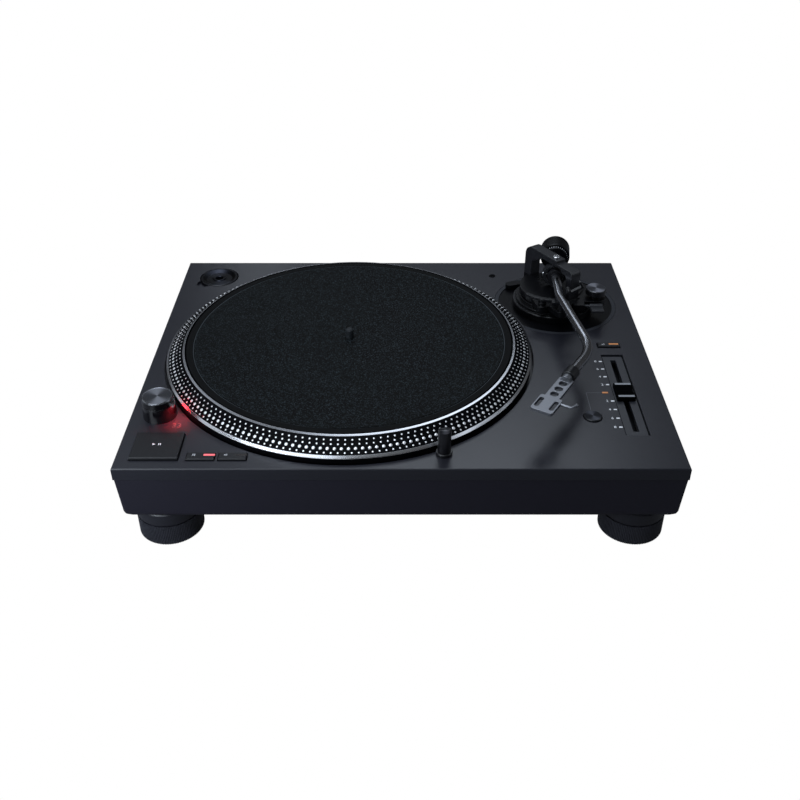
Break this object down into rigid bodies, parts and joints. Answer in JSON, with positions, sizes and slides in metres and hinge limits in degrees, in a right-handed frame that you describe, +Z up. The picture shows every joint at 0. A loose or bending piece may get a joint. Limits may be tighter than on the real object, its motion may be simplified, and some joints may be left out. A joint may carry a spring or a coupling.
{
  "type": "direct drive turntable",
  "caption": "Flat dark turntable deck on round feet, with a dotted platter that turns directly on its motor, an S-shaped tonearm, a pitch fader and a pop-up light.",
  "frame": {"origin": "on the table, under the middle of the cabinet", "axes": "+Z up, -Y the front with the start button and the speed buttons, +X to the tonearm's side"},
  "size_m": [0.453, 0.353, 0.1403],
  "materials": {
    "deck_paint": "satin dark grey metallic paint",
    "chassis_resin": "fine textured moulded resin",
    "zinc_steel": "zinc plated",
    "cast_metal": "as cast",
    "coil_copper": "enamelled copper wire",
    "bearing_bronze": "sintered bronze",
    "circuit_board": "solder resist",
    "black_moulding": "moulded",
    "gilt_jack": "gilt",
    "button_plastic": "satin painted",
    "gloss_black": "polished",
    "red_lens": "clear red",
    "amber_lens": "clear amber",
    "white_lens": "frosted",
    "platter_metal": "painted black with turned bright edges",
    "magnet_ferrite": "sintered ferrite",
    "spindle_steel": "ground",
    "mat_rubber": "matt moulded",
    "dark_anodised": "black anodised",
    "grey_anodised": "grey anodised",
    "satin_silver": "satin",
    "bright_tube": "dark polished",
    "weight_metal": "satin black",
    "sole_rubber": "matt"
  },
  "bodies": {
    "cabinet": {"top_cabinet": "deck_paint", "lower_chassis": "chassis_resin", "cabinet_screws": "zinc_steel", "motor_base": "cast_metal", "stator": "coil_copper", "bearing_sleeve": "bearing_bronze", "main_board": "circuit_board", "power_board": "circuit_board", "mains_inlet": "black_moulding", "phono_jacks": "gilt_jack", "control_board": "circuit_board", "pitch_board": "circuit_board", "fader_track": "black_moulding", "fader_plate": "deck_paint", "strobe_housing": "gloss_black", "strobe_lens": "red_lens", "target_light_collar": "dark_anodised", "pitch_lock_lens": "amber_lens", "arm_mount": "dark_anodised"},
    "turning_platter": {"platter": "platter_metal", "rotor_magnet": "magnet_ferrite", "spindle": "spindle_steel"},
    "mat": {"platter_mat": "mat_rubber"},
    "start_button": {"start_stop_button": "button_plastic"},
    "speed_33": {"speed_33_button": "button_plastic"},
    "speed_45": {"speed_45_button": "button_plastic"},
    "range_button": {"pitch_range_button": "button_plastic"},
    "reset": {"reset_button": "button_plastic"},
    "dial": {"power_dial": "gloss_black"},
    "target_light": {"target_light_post": "dark_anodised", "target_light_lamp": "white_lens"},
    "fader": {"pitch_fader_knob": "black_moulding"},
    "adaptor": {"record_adaptor": "dark_anodised"},
    "ring": {"height_ring": "dark_anodised"},
    "ring_lock": {"height_lock_lever": "dark_anodised"},
    "arm_base": {"arm_turret": "dark_anodised", "arm_arch": "dark_anodised", "arch_screw": "zinc_steel", "arm_rest": "black_moulding"},
    "clip": {"arm_clip": "black_moulding"},
    "cue": {"cue_lever": "grey_anodised"},
    "lifter": {"arm_lifter": "dark_anodised"},
    "skate": {"anti_skate_dial": "dark_anodised"},
    "gimbal": {"gimbal_ring": "dark_anodised", "gimbal_screws": "zinc_steel"},
    "arm": {"arm_tube": "bright_tube"},
    "weight": {"counterweight": "weight_metal"},
    "force_dial": {"tracking_force_dial": "dark_anodised"},
    "collar": {"headshell_collar": "dark_anodised"},
    "shell": {"headshell": "satin_silver", "finger_lift": "satin_silver"},
    "sole_front_left": {"sole_front_left": "sole_rubber"},
    "foot_front_left": {"foot_front_left": "black_moulding"},
    "sole_front_right": {"sole_front_right": "sole_rubber"},
    "foot_front_right": {"foot_front_right": "black_moulding"},
    "sole_back_left": {"sole_back_left": "sole_rubber"},
    "foot_back_left": {"foot_back_left": "black_moulding"},
    "sole_back_right": {"sole_back_right": "sole_rubber"},
    "foot_back_right": {"foot_back_right": "black_moulding"}
  },
  "joints": [
    {"name": "platter_spin", "type": "hinge", "parent": "cabinet", "child": "turning_platter", "pos_m": [-0.0468, -0.0033, 0.087], "axis": [0, 0, 1], "continuous": true},
    {"name": "mat_lift", "type": "slide", "parent": "turning_platter", "child": "mat", "axis": [0, 0, 1], "range_m": [0, 0.012]},
    {"name": "start_press", "type": "slide", "parent": "cabinet", "child": "start_button", "axis": [0, 0, -1], "range_m": [0, 0.0012], "stiffness_N_per_m": 400, "springref_m": -0.002},
    {"name": "speed_33_press", "type": "slide", "parent": "cabinet", "child": "speed_33", "axis": [0, 0, -1], "range_m": [0, 0.0012], "stiffness_N_per_m": 400, "springref_m": -0.002},
    {"name": "speed_45_press", "type": "slide", "parent": "cabinet", "child": "speed_45", "axis": [0, 0, -1], "range_m": [0, 0.0012], "stiffness_N_per_m": 400, "springref_m": -0.002},
    {"name": "range_press", "type": "slide", "parent": "cabinet", "child": "range_button", "axis": [0, 0, -1], "range_m": [0, 0.0012], "stiffness_N_per_m": 400, "springref_m": -0.002},
    {"name": "reset_press", "type": "slide", "parent": "cabinet", "child": "reset", "axis": [0, 0, -1], "range_m": [0, 0.0012], "stiffness_N_per_m": 400, "springref_m": -0.002},
    {"name": "power_turn", "type": "hinge", "parent": "cabinet", "child": "dial", "pos_m": [-0.202, -0.1035, 0.1], "axis": [0, 0, 1], "range_deg": [0, 40]},
    {"name": "target_light_push", "type": "slide", "parent": "cabinet", "child": "target_light", "axis": [0, 0, -1], "range_m": [0, 0.022], "stiffness_N_per_m": 30, "springref_m": -0.01},
    {"name": "pitch_slide", "type": "slide", "parent": "cabinet", "child": "fader", "axis": [0, 1, 0], "range_m": [-0.05, 0.05]},
    {"name": "adaptor_lift", "type": "slide", "parent": "cabinet", "child": "adaptor", "axis": [0, 0, 1], "range_m": [0, 0.03]},
    {"name": "arm_height", "type": "slide", "parent": "cabinet", "child": "arm_base", "axis": [0, 0, 1], "range_m": [0, 0.006]},
    {"name": "height_ring_turn", "type": "hinge", "parent": "cabinet", "child": "ring", "pos_m": [0.15058, 0.08541, 0.087], "axis": [0, 0, 1], "range_deg": [0, 180]},
    {"name": "height_lock_turn", "type": "hinge", "parent": "cabinet", "child": "ring_lock", "pos_m": [0.11178, 0.12011, 0.087], "axis": [0, 0, 1], "range_deg": [0, 40]},
    {"name": "clip_close", "type": "hinge", "parent": "arm_base", "child": "clip", "pos_m": [0.15693, 0.03942, 0.12685], "axis": [0, -1, 0], "range_deg": [0, 150]},
    {"name": "cue_turn", "type": "hinge", "parent": "arm_base", "child": "cue", "pos_m": [0.15058, 0.05101, 0.104], "axis": [-1, 0, 0], "range_deg": [0, 50]},
    {"name": "lifter_rise", "type": "slide", "parent": "arm_base", "child": "lifter", "axis": [0, 0, 1], "range_m": [0, 0.005]},
    {"name": "skate_turn", "type": "hinge", "parent": "arm_base", "child": "skate", "pos_m": [0.18818, 0.06441, 0.113], "axis": [0, 0, 1], "range_deg": [0, 200]},
    {"name": "arm_swing", "type": "hinge", "parent": "arm_base", "child": "gimbal", "pos_m": [0.15058, 0.08541, 0.121], "axis": [0, 0, -1], "range_deg": [0, 43]},
    {"name": "arm_tilt", "type": "hinge", "parent": "gimbal", "child": "arm", "pos_m": [0.15058, 0.08541, 0.121], "axis": [-0.9997, 0.0262, 0], "range_deg": [0, 7.5]},
    {"name": "weight_slide", "type": "slide", "parent": "arm", "child": "weight", "axis": [0.1392, 0.9903, 0], "range_m": [0, 0.009]},
    {"name": "force_dial_turn", "type": "hinge", "parent": "weight", "child": "force_dial", "pos_m": [0.15058, 0.08541, 0.121], "axis": [0.1392, 0.9903, 0], "continuous": true},
    {"name": "collar_turn", "type": "hinge", "parent": "arm", "child": "collar", "pos_m": [0.14228, -0.09046, 0.121], "axis": [-0.515, -0.8572, 0], "range_deg": [0, 30]},
    {"name": "shell_pull", "type": "slide", "parent": "arm", "child": "shell", "axis": [-0.515, -0.8572, 0], "range_m": [0, 0.025]},
    {"name": "foot_rise_front_left", "type": "slide", "parent": "cabinet", "child": "sole_front_left", "axis": [0, 0, -1], "range_m": [0, 0.006]},
    {"name": "foot_turn_front_left", "type": "hinge", "parent": "sole_front_left", "child": "foot_front_left", "pos_m": [-0.195, -0.145, 0.02], "axis": [0, 0, 1], "range_deg": [0, 1440]},
    {"name": "foot_rise_front_right", "type": "slide", "parent": "cabinet", "child": "sole_front_right", "axis": [0, 0, -1], "range_m": [0, 0.006]},
    {"name": "foot_turn_front_right", "type": "hinge", "parent": "sole_front_right", "child": "foot_front_right", "pos_m": [0.195, -0.145, 0.02], "axis": [0, 0, 1], "range_deg": [0, 1440]},
    {"name": "foot_rise_back_left", "type": "slide", "parent": "cabinet", "child": "sole_back_left", "axis": [0, 0, -1], "range_m": [0, 0.006]},
    {"name": "foot_turn_back_left", "type": "hinge", "parent": "sole_back_left", "child": "foot_back_left", "pos_m": [-0.195, 0.145, 0.02], "axis": [0, 0, 1], "range_deg": [0, 1440]},
    {"name": "foot_rise_back_right", "type": "slide", "parent": "cabinet", "child": "sole_back_right", "axis": [0, 0, -1], "range_m": [0, 0.006]},
    {"name": "foot_turn_back_right", "type": "hinge", "parent": "sole_back_right", "child": "foot_back_right", "pos_m": [0.195, 0.145, 0.02], "axis": [0, 0, 1], "range_deg": [0, 1440]}
  ],
  "couplings": [
    {"joint": "height_ring_turn", "follows": "arm_height", "rad_per_m": 523.6},
    {"joint": "cue_turn", "follows": "lifter_rise", "rad_per_m": 174.53},
    {"joint": "foot_turn_front_left", "follows": "foot_rise_front_left", "rad_per_m": 4188.8},
    {"joint": "foot_turn_front_right", "follows": "foot_rise_front_right", "rad_per_m": 4188.8},
    {"joint": "foot_turn_back_left", "follows": "foot_rise_back_left", "rad_per_m": 4188.8},
    {"joint": "foot_turn_back_right", "follows": "foot_rise_back_right", "rad_per_m": 4188.8}
  ]
}
